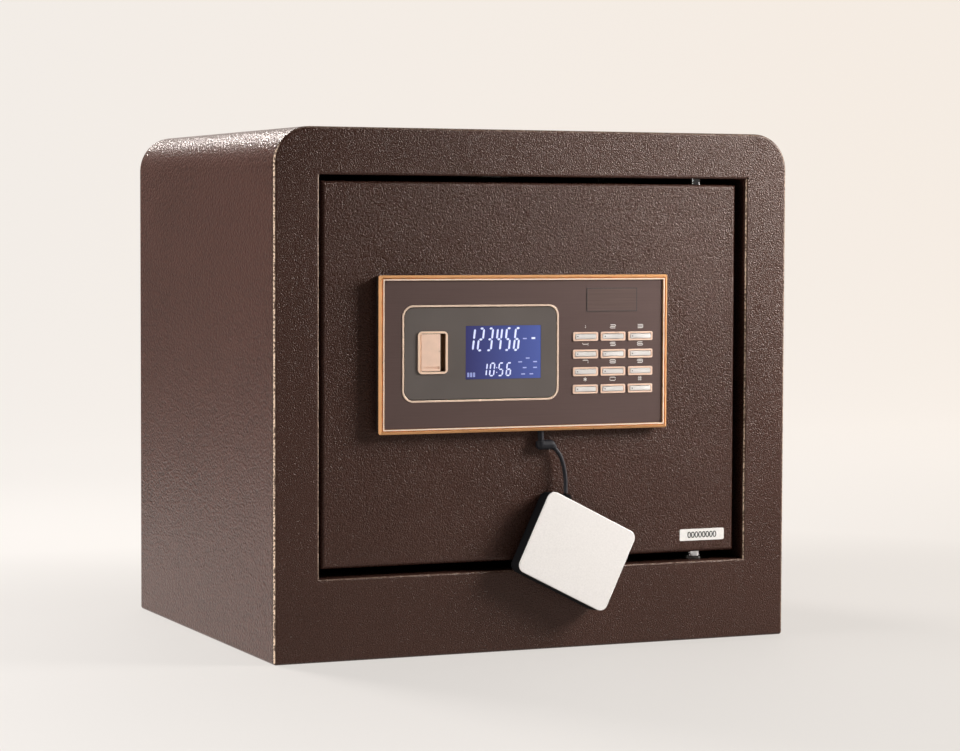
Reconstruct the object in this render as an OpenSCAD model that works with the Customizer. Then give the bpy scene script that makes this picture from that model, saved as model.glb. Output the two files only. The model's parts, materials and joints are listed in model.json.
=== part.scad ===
/* [Body] */
// Width of the cabinet
body_w = 382; // [370:1:400]
// Height of the cabinet
body_h = 354; // [350:1:370]
// Depth of the cabinet, without the lock panel
body_d = 300; // [290:1:340]
// Radius of the two long upper edges
corner_r = 25; // [22:1:30]
// Thickness of the cabinet sheet
sheet = 2; // [2:0.5:3]

/* [Doorway] */
// Width of the opening in the front frame
doorway_w = 318.4; // [316:0.2:320]
// Height of the opening in the front frame
doorway_h = 267; // [266:0.5:270]
// Height of the sill under the opening
sill_h = 55.5; // [54:0.5:57]
// Depth of the folded return round the opening
return_d = 40; // [38:1:44]

/* [Door] */
// Width of the door plate
door_w = 309.4; // [308:0.2:310]
// Height of the door plate
door_h = 256.8; // [255:0.2:258]
// How far the door face sits behind the frame
door_recess = 4; // [3:0.5:5]
// Thickness of the door plate
door_t = 5; // [4:0.5:5]
// Depth of the lock box behind the door plate
box_d = 39; // [38:1:42]

/* [Bolts] */
// Diameter of the locking bolts
bolt_d = 20; // [18:1:20]
// Travel of the locking bolts
bolt_throw = 18; // [14:1:18]

/* [Lock panel] */
// Width of the lock panel
panel_w = 214; // [212:0.5:216]
// Height of the lock panel
panel_h = 105.8; // [104:0.2:106]
// How far the panel stands out of the door
panel_t = 8.6; // [8.4:0.1:9]

/* [Keypad] */
// Distance between key columns
key_pitch_x = 20.9; // [20:0.1:21.5]
// Distance between key rows
key_pitch_z = 12; // [11:0.5:12.5]
// Travel of each key
key_travel = 0.8; // [0.5:0.1:0.9]

/* [Battery box] */
// Width of the hanging battery box
pack_w = 72; // [70:0.5:76]
// Height of the hanging battery box
pack_h = 59.5; // [58:0.5:61]
// Thickness of the hanging battery box
pack_t = 14.5; // [14.5:0.5:17]
// Tilt of the hanging battery box
pack_tilt = 27.2; // [25:0.1:30]
// Lean of the hanging battery box, its foot resting out over the sill
pack_lean = 4.6; // [4:0.1:5]

/* [Hidden] */
$fn = 64;
front_y = -body_d / 2;
back_y = body_d / 2;
bend = 2;
door_bend = 1.6;
skirt_d = 4.5;
low_r = 2;
// doorway edges
dw_x0 = -doorway_w / 2 - 0.2;
dw_x1 = dw_x0 + doorway_w;
dw_z0 = sill_h;
dw_z1 = dw_z0 + doorway_h;
// door plate edges
door_x0 = -156.6;
door_x1 = door_x0 + door_w;
door_z0 = 61.6;
door_z1 = door_z0 + door_h;
door_y = front_y + door_recess;
// lock box behind the door plate
box_x0 = door_x0 + 5.6;
box_x1 = door_x1 - 8.8;
box_z0 = door_z0 + 8.4;
box_z1 = door_z1 - 7.4;
box_y0 = door_y + door_t;
box_y1 = box_y0 + box_d - 2;
// hinge line
hinge_x = 129.5;
hinge_y = front_y + 20;
pin_r = 4;
run = 0.06;
// bolts and their drive
bolt_r = bolt_d / 2;
bolt_y = front_y + 26;
bolt_z = [115, 265];
web_y = bolt_y - 2;
rack_z = 130;
rack_x0 = -45;
gear_m = 1.25;
gear_n = 16;
gear_r = gear_m * gear_n / 2;
tooth_up = 1.05;
tooth_down = 1.6;
gear_x = -36;
gear_z = rack_z - tooth_down - gear_r;
backlash = 0.15;
post_x = [-80, -48];
// lock panel edges
pan_x0 = -11.6 - panel_w / 2;
pan_x1 = pan_x0 + panel_w;
pan_z0 = 203.2 - panel_h / 2;
pan_z1 = pan_z0 + panel_h;
pan_y = door_y - panel_t;
face_y = pan_y + 1;
trim_w = 3.4;
// smoked window
win_x0 = -102.2;
win_x1 = 12.6;
win_z0 = 171.3;
win_z1 = 236.2;
// display
lcd_x0 = -56.3;
lcd_x1 = -0.7;
lcd_z0 = 186.1;
lcd_z1 = 222.1;
// pocket with the emergency lock behind its flap
poc_x0 = -91;
poc_x1 = -69.7;
poc_z0 = 190.3;
poc_z1 = 218.7;
cyl_x = (poc_x0 + poc_x1) / 2;
cyl_z = (poc_z0 + poc_z1) / 2;
flap_x = poc_x0 + 2.6;
flap_y = pan_y + 1.1;
// keypad
key_x0 = 32.8;
key_z0 = 213.9;
ring_w = 18.8;
ring_h = 6.2;
bar_w = 15.6;
bar_h = 3;
ring_y = face_y - 0.7;
// socket and plug under the panel
plug_x = 1.2;
plug_y = door_y - 4;
plug_z = pan_z0;
// hanging battery box
pack_y1 = front_y + 2.4;
pack_y0 = pack_y1 - pack_t;
pack_pos = [22.6, 66.7];
// cord route, from the plug to the battery box
cord_d = 2.8;
cord_route = [
    [12.0, -150.0, 137.3], [13.1, -150.0, 136.3], [14.3, -150.2, 134.8], [15.5, -150.5, 132.8],
    [16.5, -150.9, 130.4], [17.3, -151.2, 127.7], [18.0, -151.5, 124.8], [18.5, -151.8, 121.8],
    [18.8, -152.1, 118.8], [18.9, -152.4, 115.8], [18.9, -152.6, 114.4], [18.8, -152.8, 112.9],
    [18.6, -153.2, 110.1], [18.5, -153.6, 108.3], [18.4, -153.9, 106.9]
];
// boss on the battery box where the cord goes in
hang_x = 18.4;
hang_z = 104;
hang_r = 2.6;

// ---- shapes that repeat ----

module block(x0, y0, z0, x1, y1, z1) {
    translate([x0, y0, z0]) cube([x1 - x0, y1 - y0, z1 - z0]);
}

module rod_x(y, z, x0, x1, r) {
    translate([x0, y, z]) rotate([0, 90, 0]) cylinder(h = x1 - x0, r = r);
}

module rod_y(x, z, y0, y1, r) {
    translate([x, y0, z]) rotate([-90, 0, 0]) cylinder(h = y1 - y0, r = r);
}

module rod_z(x, y, z0, z1, r) {
    translate([x, y, z0]) cylinder(h = z1 - z0, r = r);
}

// rounded rectangle in the plane, by its edges
module round_rect(x0, z0, x1, z1, r) {
    translate([x0 + r, z0]) square([x1 - x0 - 2 * r, z1 - z0]);
    translate([x0, z0 + r]) square([x1 - x0, z1 - z0 - 2 * r]);
    for (x = [x0 + r, x1 - r], z = [z0 + r, z1 - r]) translate([x, z]) circle(r);
}

// rounded plate that faces the front
module plate(x0, z0, x1, z1, y0, y1, r) {
    translate([0, y1, 0]) rotate([90, 0, 0]) linear_extrude(y1 - y0)
        round_rect(x0, z0, x1, z1, r);
}

// cabinet outline, set in by i
module outline(i) {
    x = body_w / 2 - i;
    rt = corner_r - i;
    rb = max(low_r - i, 0.5);
    translate([-x, i + rb]) square([2 * x, body_h - 2 * i - rb - rt]);
    translate([-x + rt, i + rb]) square([2 * (x - rt), body_h - 2 * i - rb]);
    translate([-x + rb, i]) square([2 * (x - rb), rb + 1]);
    for (s = [-1, 1]) {
        translate([s * (x - rt), body_h - i - rt]) circle(rt);
        translate([s * (x - rb), i + rb]) circle(rb);
    }
}

module outline_solid(i, y0, y1) {
    translate([0, y1, 0]) rotate([90, 0, 0]) linear_extrude(y1 - y0) outline(i);
}

// cutters that roll one upright or one level front edge of a doorway; s is the outward side
module roll_upright(x, s, z0, z1, y, r) {
    difference() {
        block(min(x, x + s * r), y - 1, z0, max(x, x + s * r), y + r, z1);
        rod_z(x + s * r, y + r, z0 - 1, z1 + 1, r);
    }
}

module roll_level(z, s, x0, x1, y, r) {
    difference() {
        block(x0, y - 1, min(z, z + s * r), x1, y + r, max(z, z + s * r));
        rod_x(y + r, z + s * r, x0 - 1, x1 + 1, r);
    }
}

// the four front edges of a doorway, mitred at the corners
module doorway_rolls(x0, z0, x1, z1, y, r) {
    for (s = [-1, 1]) {
        roll_upright(s < 0 ? x0 : x1, s, z0, z1, y, r);
        roll_level(s < 0 ? z0 : z1, s, x0, x1, y, r);
    }
    for (s = [-1, 1], t = [-1, 1]) intersection() {
        roll_upright(s < 0 ? x0 : x1, s, t < 0 ? z0 - r : z1, t < 0 ? z0 : z1 + r, y, r);
        roll_level(t < 0 ? z0 : z1, t, s < 0 ? x0 - r : x1, s < 0 ? x0 : x1 + r, y, r);
    }
}

// bars that round the four front edges of a plate over a radius
module plate_rounds(x0, z0, x1, z1, y, r) {
    for (s = [-1, 1]) {
        x = s < 0 ? x0 + r : x1 - r;
        difference() {
            block(min(x, x + s * (r + 1)), y - 1, z0 - 1, max(x, x + s * (r + 1)), y + r, z1 + 1);
            rod_z(x, y + r, z0 - 2, z1 + 2, r);
        }
        z = s < 0 ? z0 + r : z1 - r;
        difference() {
            block(x0 - 1, y - 1, min(z, z + s * (r + 1)), x1 + 1, y + r, max(z, z + s * (r + 1)));
            rod_x(y + r, z, x0 - 2, x1 + 2, r);
        }
    }
}

// dry cell along Z with its contact button
module battery(x, y, z, r, h) {
    rod_z(x, y, z, z + h, r);
    rod_z(x, y, z + h, z + h + 1, r * 0.38);
}

// ---- cabinet ----

module front_frame() {
    y = front_y + skirt_d;
    color([0.24, 0.18, 0.15]) difference() {
        front_pan();
        block(dw_x0, front_y - 1, dw_z0, dw_x1, y + 1, dw_z1);
        doorway_rolls(dw_x0, dw_z0, dw_x1, dw_z1, front_y, door_bend);
    }
}

// sheet liner that runs back from the doorway
module door_jamb() {
    y0 = front_y + skirt_d;
    y1 = front_y + return_d;
    color([0.26, 0.19, 0.16]) difference() {
        block(dw_x0 - sheet, y0, dw_z0 - sheet, dw_x1 + sheet, y1, dw_z1 + sheet);
        block(dw_x0, y0 - 1, dw_z0, dw_x1, y1 + 1, dw_z1);
        for (z = bolt_z) rod_x(bolt_y, z, dw_x0 - sheet - 1, dw_x0 + 1, bolt_r + 1);
        rod_z(hinge_x, hinge_y, dw_z0 - sheet - 1, dw_z1 + sheet + 1, pin_r + 1);
    }
}

// front of the cabinet with its outer edge rolled over
module front_pan() {
    y = front_y + bend;
    outline_solid(0, y, front_y + skirt_d);
    outline_solid(bend, front_y, y + 1);
    zt = body_h - corner_r;
    x = body_w / 2;
    for (s = [-1, 1]) {
        rod_z(s * (x - bend), y, low_r, zt, bend);
        translate([s * (x - corner_r), y, zt]) rotate([90, s < 0 ? -90 : 0, 0])
            rotate_extrude(angle = 90) translate([corner_r - bend, 0]) circle(bend);
        translate([s * (x - low_r), y, low_r]) sphere(bend);
    }
    rod_x(y, body_h - bend, corner_r - x, x - corner_r, bend);
    rod_x(y, bend, low_r - x, x - low_r, bend);
}

module wrap_shell() {
    y0 = front_y + skirt_d;
    color([0.36, 0.29, 0.25]) difference() {
        outline_solid(0, y0, back_y);
        outline_solid(sheet, y0 - 1, back_y + 1);
        block(15 - body_w / 2, y0 - 1, -1, body_w / 2 - 15, back_y + 1, sheet + 1);
    }
}

module base_plate() {
    color([0.3, 0.24, 0.2]) difference() {
        block(15 - body_w / 2, front_y + skirt_d, 0, body_w / 2 - 15, back_y, sheet);
        for (x = [-100, 100], y = [-60, 90]) rod_z(x, y, -1, sheet + 1, 6);
    }
}

module back_panel() {
    color([0.3, 0.24, 0.2]) difference() {
        outline_solid(sheet + 0.1, back_y - sheet, back_y);
        for (x = [-100, 100]) rod_y(x, 270, back_y - sheet - 1, back_y + 1, 6);
    }
}

module floor_mat() {
    x = body_w / 2 - sheet - 2;
    color([0.12, 0.12, 0.13]) difference() {
        block(-x, front_y + return_d + 2, sheet, x, back_y - sheet - 1, sheet + 3);
        for (x = [-100, 100], y = [-60, 90]) rod_z(x, y, sheet - 1, sheet + 4, 11);
    }
}

// angle behind the left return that boxes in the bolt ends
module keeper_channel() {
    y0 = front_y + return_d;
    x0 = -body_w / 2 + sheet;
    color([0.3, 0.24, 0.2]) union() {
        block(x0, y0, dw_z0 + 5, dw_x0, y0 + 2, dw_z1 - 8);
        block(x0, y0 + 2, dw_z0 + 5, x0 + 2, y0 + 16, dw_z1 - 8);
    }
}

// bored blocks above and below the doorway, and the washer under the door
module hinge_blocks() {
    color([0.6, 0.6, 0.62]) difference() {
        union() {
            for (z = [dw_z0 - sheet - 10, dw_z1 + sheet])
                block(hinge_x - 12, front_y + sheet + 3, z, hinge_x + 12, hinge_y + 12, z + 10);
            rod_z(hinge_x, hinge_y, dw_z0, dw_z0 + 1.2, 6.4);
        }
        rod_z(hinge_x, hinge_y, dw_z0 - sheet - 11, dw_z1 + sheet + 11, pin_r + run);
    }
}

module shelf() {
    x = body_w / 2 - sheet - 2;
    y0 = front_y + 66;
    y1 = back_y - sheet - 4;
    color([0.33, 0.27, 0.23]) union() {
        block(-x, y0, 176, x, y1, 177.5);
        block(-x, y0, 164, x, y0 + 1.5, 176);
        block(-x, y1 - 1.5, 177.5, x, y1, 186);
    }
}

module shelf_rails() {
    color([0.3, 0.24, 0.2]) for (s = [-1, 1]) {
        x = s * (body_w / 2 - sheet);
        block(min(x, x - s * 12), front_y + 72, 174.5, max(x, x - s * 12), back_y - 12, 176);
        block(min(x, x - s * 1.5), front_y + 72, 164, max(x, x - s * 1.5), back_y - 12, 174.5);
    }
}

// ---- door ----

module door_plate() {
    color([0.27, 0.2, 0.17]) difference() {
        block(door_x0, door_y, door_z0, door_x1, box_y0, door_z1);
        plate_rounds(door_x0, door_z0, door_x1, door_z1, door_y, 2.5);
        plate(-100, 168, 80, 240, door_y - 1, box_y0 + 1, 4);
    }
}

module door_pan() {
    t = 2;
    color([0.3, 0.24, 0.2]) difference() {
        union() {
            difference() {
                block(box_x0, box_y0, box_z0, box_x1, box_y1, box_z1);
                block(box_x0 + t, box_y0 - 1, box_z0 + t, box_x1 - t, box_y1 + 1, box_z1 - t);
            }
            screw_spots() block(-6, box_y1 - t, -6, 6, box_y1, 6);
        }
        for (z = bolt_z) rod_x(bolt_y, z, box_x0 - 1, box_x0 + t + 1, bolt_r + 0.6);
        rod_z(hinge_x, hinge_y, box_z0 - 1, box_z1 + 1, pin_r + 0.1);
        screw_spots() rod_y(0, 0, box_y1 - t - 1, box_y1 + 1, 2.1);
    }
}

// the six screws of the rear cover
module screw_spots() {
    for (x = [box_x0 + 7, box_x1 - 7], z = [box_z0 + 7, (box_z0 + box_z1) / 2, box_z1 - 7])
        translate([x, 0, z]) children();
}

module door_cover() {
    color([0.33, 0.27, 0.23]) difference() {
        union() {
            block(box_x0, box_y1, box_z0, box_x1, box_y1 + 2, box_z1);
            block(2, box_y1 + 2, 82.5, 108, box_y1 + 6, 85.7);
            block(2, box_y1 + 5.2, 85.7, 108, box_y1 + 6, 88);
            block(2, box_y1 + 2, 156.3, 108, box_y1 + 6, 159.5);
            block(2, box_y1 + 5.2, 154, 108, box_y1 + 6, 156.3);
        }
        screw_spots() rod_y(0, 0, box_y1 - 1, box_y1 + 3, 2.1);
        block(30, box_y1 - 1, 92, 100, box_y1 + 3, 150);
        rod_y(110, 200, box_y1 - 1, box_y1 + 3, 4.5);
    }
}

module cover_screws() {
    color([0.75, 0.75, 0.77]) screw_spots() difference() {
        union() {
            rod_y(0, 0, box_y1 - 5, box_y1 + 2, 2);
            rod_y(0, 0, box_y1 + 2, box_y1 + 4, 3.8);
        }
        block(-2.2, box_y1 + 3, -0.5, 2.2, box_y1 + 5, 0.5);
        block(-0.5, box_y1 + 3, -2.2, 0.5, box_y1 + 5, 2.2);
    }
}

module hinge_pins() {
    color([0.78, 0.78, 0.8]) {
        rod_z(hinge_x, hinge_y, box_z1 - 14, dw_z1 + 11, pin_r);
        block(hinge_x - 9, hinge_y - 9, box_z1 - 14, hinge_x + 9, hinge_y + 9, box_z1 - 2);
        rod_z(hinge_x, hinge_y, dw_z0 - 11, box_z0 + 14, pin_r);
        rod_z(hinge_x, hinge_y, dw_z0 + 1.5, box_z0, 5.5);
        block(hinge_x - 9, hinge_y - 9, box_z0 + 2, hinge_x + 9, hinge_y + 9, box_z0 + 14);
    }
}

module bolt_guides() {
    color([0.1, 0.1, 0.1]) for (z = bolt_z) difference() {
        rod_x(bolt_y, z, box_x0 + 2, box_x0 + 14, bolt_r + 2.6);
        rod_x(bolt_y, z, box_x0 + 1, box_x0 + 15, bolt_r + run);
    }
}

// shoulder screws on which the bolt carriage slides
module carriage_posts() {
    color([0.78, 0.78, 0.8]) for (x = post_x) {
        rod_y(x, 145, box_y0, web_y + 3.4, 2.8);
        rod_y(x, 145, web_y + 3.4, web_y + 5.4, 5);
    }
}

module gear_motor() {
    y1 = web_y - 4.5;
    color([0.7, 0.66, 0.55]) difference() {
        union() {
            block(gear_x - 14, box_y0, gear_z - 22, gear_x + 14, y1, gear_z + 14);
            rod_z(gear_x, (box_y0 + y1) / 2, box_z0 + 3, gear_z - 22, 5);
        }
        rod_y(gear_x, gear_z, y1 - 6, y1 + 1, 1.5 + run);
    }
}

module lock_cylinder() {
    color([0.8, 0.7, 0.42]) difference() {
        union() {
            rod_y(cyl_x, cyl_z, face_y + 4.3, bolt_y + 10, 8);
            rod_y(cyl_x, cyl_z, box_y0 + 1, box_y0 + 4, 12);
        }
        rod_y(cyl_x, cyl_z, face_y + 3, bolt_y + 11, 5 + run);
    }
}

module battery_tray() {
    color([0.13, 0.13, 0.14]) difference() {
        block(32, box_y1 - 18, 94, 98, box_y1 - 0.5, 148);
        block(34, box_y1 - 16, 95.5, 96, box_y1 + 1, 146.5);
    }
}

module tray_cells() {
    color([0.2, 0.45, 0.3]) for (i = [0:3]) 
        battery(42.2 + 15.2 * i, box_y1 - 8.6, 95.8, 7.1, 49.2);
}

module reset_button() {
    color([0.75, 0.1, 0.08]) {
        rod_y(110, 200, box_y1 - 4, box_y1 + 5, 4);
        rod_y(110, 200, box_y1 - 5, box_y1 - 4, 6);
    }
}

module battery_hatch() {
    y = box_y1 + 2.3;
    color([0.12, 0.12, 0.13]) difference() {
        block(26, y, 86, 104, y + 2.5, 156);
        for (z = [92:3:104]) block(50, y + 1.7, z, 80, y + 3, z + 1.2);
    }
}

// ---- bolts and drive ----

module bolt_carriage() {
    x1 = -8;
    color([0.62, 0.63, 0.65]) difference() {
        union() {
            block(-98, bolt_y - 10, 100, -95, bolt_y + 11, 280);
            block(-95, web_y, rack_z, x1, web_y + 3, 162);
            for (i = [0:8]) rack_tooth(gear_x + (i - 1.5) * PI * gear_m);
        }
        for (z = bolt_z) rod_x(bolt_y, z, -99, -94, 4.02);
        for (x = post_x) {
            rod_y(x, 145, web_y - 1, web_y + 4, 3.1);
            rod_y(x + bolt_throw + 0.5, 145, web_y - 1, web_y + 4, 3.1);
            block(x, web_y - 1, 145 - 3.1, x + bolt_throw + 0.5, web_y + 4, 145 + 3.1);
        }
    }
}

// straight-sided rack tooth that points down, thinned by the backlash
module rack_tooth(x) {
    p = PI * gear_m / 4 - backlash / 2;
    a = p + tooth_down * tan(20);
    b = p - tooth_up * tan(20);
    translate([x, web_y + 3, rack_z - tooth_down]) rotate([90, 0, 0]) linear_extrude(3)
        polygon([[-a, tooth_down], [-b, -tooth_up], [b, -tooth_up], [a, tooth_down]]);
}

module bolts() {
    color([0.82, 0.82, 0.84]) for (z = bolt_z) {
        rod_x(bolt_y, z, box_x0 + 2, -98, bolt_r);
        translate([box_x0 + 0.5, bolt_y, z]) rotate([0, 90, 0])
            cylinder(h = 1.5, r1 = bolt_r - 1.5, r2 = bolt_r);
        rod_x(bolt_y, z, -98, -93.5, 4);
    }
}

// involute spur gear on its shaft
function inv(a) = tan(a) - a * PI / 180;
function flank(r) = let (base = gear_r * cos(20), a = acos(min(1, base / max(r, base))))
    90 / gear_n - backlash / gear_r * 90 / PI + (inv(20) - inv(a)) * 180 / PI;
function tooth_point(t, r, s) = let (c = 90 + t * 360 / gear_n + s * flank(r))
    [r * cos(c), r * sin(c)];

module pinion() {
    root = gear_r - tooth_down;
    steps = [root, gear_r * cos(20), gear_r - 0.4, gear_r, gear_r + 0.5, gear_r + tooth_up];
    n = len(steps) - 1;
    color([0.85, 0.83, 0.76]) union() {
        translate([gear_x, web_y + 3, gear_z]) rotate([90, 0, 0]) linear_extrude(4)
            polygon([for (t = [0:gear_n - 1], s = [-1, 1], i = [0:n])
                tooth_point(-t, steps[s < 0 ? i : n - i], -s)]);
        rod_y(gear_x, gear_z, web_y - 4, web_y - 1, 4);
        rod_y(gear_x, gear_z, web_y - 10, web_y + 4, 1.5);
    }
}

module key_plug() {
    y1 = bolt_y + 10.5;
    color([0.78, 0.62, 0.34]) difference() {
        union() {
            rod_y(cyl_x, cyl_z, face_y + 4, y1, 5);
            rod_y(cyl_x, cyl_z, y1, y1 + 3, 6);
            block(cyl_x - 4, y1, cyl_z - 18, cyl_x + 4, y1 + 3, cyl_z);
        }
        block(cyl_x - 0.6, face_y + 3, cyl_z - 3, cyl_x + 0.6, face_y + 26, cyl_z + 3);
    }
}

// ---- lock panel ----

module panel_housing() {
    y0 = pan_y + 2.6;
    color([0.1, 0.08, 0.07]) difference() {
        plate(pan_x0 + 0.6, pan_z0 + 0.6, pan_x1 - 0.6, pan_z1 - 0.6, y0, door_y, 1.5);
        plate(pan_x0 + 6, pan_z0 + 6, pan_x1 - 6, pan_z1 - 6, y0 - 1, door_y + 1, 2);
        rod_z(plug_x, plug_y, pan_z0, pan_z0 + 7, 3);
    }
}

module panel_trim() {
    y1 = pan_y + 2.6;
    color([0.86, 0.62, 0.38]) difference() {
        plate(pan_x0, pan_z0, pan_x1, pan_z1, pan_y, y1, 1.2);
        plate(pan_x0 + trim_w, pan_z0 + trim_w, pan_x1 - trim_w, pan_z1 - trim_w, pan_y - 1,
            y1 + 1, 0.8);
        trim_bevel();
        difference() {
            plate(pan_x0 + 1.7, pan_z0 + 1.7, pan_x1 - 1.7, pan_z1 - 1.7, pan_y - 1, pan_y + 0.9, 1);
            plate(pan_x0 + 2.4, pan_z0 + 2.4, pan_x1 - 2.4, pan_z1 - 2.4, pan_y - 2, pan_y + 2, 0.9);
        }
    }
}

// slanted outer edge of the panel trim
module trim_bevel() {
    c = 1.3;
    for (x = [pan_x0, pan_x1], z = [0]) translate([x, pan_y, pan_z0 - 2]) rotate([0, 0, 45])
        translate([-c * 0.7, -c * 0.7, 0]) cube([c * 1.4, c * 1.4, panel_h + 4]);
    for (z = [pan_z0, pan_z1]) translate([pan_x0 - 2, pan_y, z]) rotate([45, 0, 0])
        translate([0, -c * 0.7, -c * 0.7]) cube([panel_w + 4, c * 1.4, c * 1.4]);
}

module fascia() {
    g = trim_w + 0.1;
    color([0.4, 0.33, 0.3]) difference() {
        plate(pan_x0 + g, pan_z0 + g, pan_x1 - g, pan_z1 - g, face_y, face_y + 1.6, 0.7);
        plate(win_x0 - 0.1, win_z0 - 0.1, win_x1 + 0.1, win_z1 + 0.1, face_y - 1, face_y + 3, 8);
        key_spots() plate(-ring_w / 2, -ring_h / 2, ring_w / 2, ring_h / 2, face_y - 1,
            face_y + 3, 1);
    }
}

module window_bezel() {
    color([0.9, 0.72, 0.5]) difference() {
        plate(win_x0, win_z0, win_x1, win_z1, face_y - 0.4, face_y + 1.6, 8);
        plate(win_x0 + 1.3, win_z0 + 1.3, win_x1 - 1.3, win_z1 - 1.3, face_y - 1, face_y + 2, 6.7);
    }
}

module window_plate() {
    g = 1.9;
    color([0.4, 0.38, 0.36]) difference() {
        plate(win_x0 + g, win_z0 + g, win_x1 - g, win_z1 - g, face_y - 0.1, face_y + 1.4, 6);
        plate(lcd_x0, lcd_z0, lcd_x1, lcd_z1, face_y - 1, face_y + 2, 0.6);
        plate(poc_x0 - 0.03, poc_z0 - 0.03, poc_x1 + 0.03, poc_z1 + 0.03, face_y - 1, face_y + 2, 3);
    }
}

module lcd_glass() {
    color([0.25, 0.3, 0.75])
        plate(lcd_x0 + 0.1, lcd_z0 + 0.1, lcd_x1 - 0.1, lcd_z1 - 0.1, face_y, face_y + 2, 0.5);
}

module lcd_module() {
    color([0.15, 0.3, 0.2])
        block(lcd_x0 - 3, face_y + 2, lcd_z0 - 3, lcd_x1 + 3, face_y + 4.5, lcd_z1 + 3);
}

module name_plate() {
    color([0.34, 0.28, 0.25]) plate(33.6, 231, 71.9, 247, face_y - 0.2, face_y, 0.8);
}

module cover_pocket() {
    color([0.88, 0.68, 0.5]) difference() {
        union() {
            plate(poc_x0, poc_z0, poc_x1, poc_z1, pan_y - 0.1, face_y + 4, 3);
        }
        plate(poc_x0 + 1.4, poc_z0 + 1.4, poc_x1 - 1.4, poc_z1 - 1.4, pan_y - 1, face_y + 3.2, 0.8);
        rod_y(cyl_x, cyl_z, face_y + 3, face_y + 5, 5.6);
        for (z = [poc_z0 + 0.5, poc_z1 - 1.6]) rod_z(flap_x, flap_y, z, z + 1.1, 0.5 + run);
    }
}

module key_flap() {
    z0 = poc_z0 + 1.8;
    z1 = poc_z1 - 1.8;
    color([0.92, 0.78, 0.68]) difference() {
        union() {
            block(flap_x, flap_y - 0.8, z0, poc_x1 - 5.2, flap_y + 0.8, z1);
            rod_z(flap_x, flap_y, z0, z1, 0.8);
            rod_z(flap_x, flap_y, z0 - 0.8, z1 + 0.8, 0.5);
        }
        block(flap_x + 1.4, flap_y - 1.4, z0 + 1.4, poc_x1 - 6, flap_y - 0.2, z0 + 3);
    }
}

module serial_label() {
    color([0.93, 0.92, 0.9]) plate(110.5, 69.4, 145.4, 77.6, door_y - 0.2, door_y, 1);
}

// ---- keypad ----

module key_spots() {
    for (r = [0:3], c = [0:2])
        translate([key_x0 + c * key_pitch_x, 0, key_z0 - r * key_pitch_z]) children();
}

module key_surrounds() {
    color([0.87, 0.7, 0.6]) key_spots() difference() {
        plate(-ring_w / 2 + 0.05, -ring_h / 2 + 0.05, ring_w / 2 - 0.05, ring_h / 2 - 0.05,
            ring_y, face_y + 1.4, 1);
        plate(-bar_w / 2 - 0.4, -bar_h / 2 - 0.4, bar_w / 2 + 0.4, bar_h / 2 + 0.4, ring_y - 1,
            face_y + 2, 0.6);
    }
}

module key_cap(r, c) {
    y1 = face_y + 2.4;
    color([0.85, 0.84, 0.83])
    translate([key_x0 + c * key_pitch_x, 0, key_z0 - r * key_pitch_z]) {
        plate(-bar_w / 2, -bar_h / 2, bar_w / 2, bar_h / 2, ring_y - 0.3, y1, 0.5);
        plate(-bar_w / 2 - 1, -bar_h / 2 - 1, bar_w / 2 + 1, bar_h / 2 + 1, y1 - 0.5, y1, 0.8);
    }
}

module key_1() { key_cap(0, 0); }
module key_2() { key_cap(0, 1); }
module key_3() { key_cap(0, 2); }
module key_4() { key_cap(1, 0); }
module key_5() { key_cap(1, 1); }
module key_6() { key_cap(1, 2); }
module key_7() { key_cap(2, 0); }
module key_8() { key_cap(2, 1); }
module key_9() { key_cap(2, 2); }
module key_star() { key_cap(3, 0); }
module key_0() { key_cap(3, 1); }
module key_hash() { key_cap(3, 2); }

module key_mat() {
    y0 = face_y + 2.4 + key_travel + 0.4;
    color([0.55, 0.55, 0.55]) union() {
        block(21, y0 + 0.3, 172.5, 86, door_y - 1.9, 219);
        key_spots() rod_y(0, 0, y0, y0 + 0.4, 1.6);
    }
}

module control_board() {
    color([0.1, 0.32, 0.18]) union() {
        block(-66, door_y - 1.9, 172, 86, door_y - 0.3, 219);
        block(-30, door_y - 0.3, 176, 10, door_y + 3, 200);
        rod_y(40, 230 - 22, door_y - 0.3, door_y + 8, 6);
    }
}

// ---- socket, plug, cord and hanging battery box ----

module dc_socket() {
    color([0.08, 0.08, 0.08]) difference() {
        block(plug_x - 4.5, face_y + 1.6, pan_z0 + 6.5, plug_x + 4.5, door_y, pan_z0 + 18);
        rod_z(plug_x, plug_y, pan_z0 + 5, pan_z0 + 16.5, 1.6);
    }
}

module cord_plug() {
    z = plug_z - 10;
    color([0.09, 0.09, 0.11]) {
        rod_z(plug_x, plug_y, plug_z - 0.3, plug_z + 15.5, 1.5);
        rod_z(plug_x, plug_y, z, plug_z - 0.3, 2.1);
        rod_z(plug_x, plug_y, z, plug_z - 7.4, 3.4);
        translate([plug_x, plug_y, z]) sphere(3.4);
        rod_x(plug_y, z, plug_x, 9, 3.4);
        translate([9, plug_y, z]) sphere(3);
        translate([9, plug_y, z]) rotate([0, 130, 0]) cylinder(h = 4, r1 = 2.8, r2 = 1.8);
    }
}

// one polyhedron swept along the route
function unit(v) = v / norm(v);
function heading(p, i) = unit(p[min(i + 1, len(p) - 1)] - p[max(i - 1, 0)]);
function ring_point(p, i, a, r) = let (t = heading(p, i), u = unit(cross([0, 1, 0], t)),
    v = cross(t, u)) p[i] + r * (u * cos(a) + v * sin(a));

module swept_cord(p, d, n) {
    rings = len(p);
    points = [for (i = [0:rings - 1], k = [0:n - 1]) ring_point(p, i, k * 360 / n, d / 2)];
    sides = [for (i = [0:rings - 2], k = [0:n - 1]) let (j = (k + 1) % n)
        [i * n + k, i * n + j, (i + 1) * n + j, (i + 1) * n + k]];
    polyhedron(points, concat([[for (k = [0:n - 1]) n - 1 - k]], sides,
        [[for (k = [0:n - 1]) (rings - 1) * n + k]]), 4);
}

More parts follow.
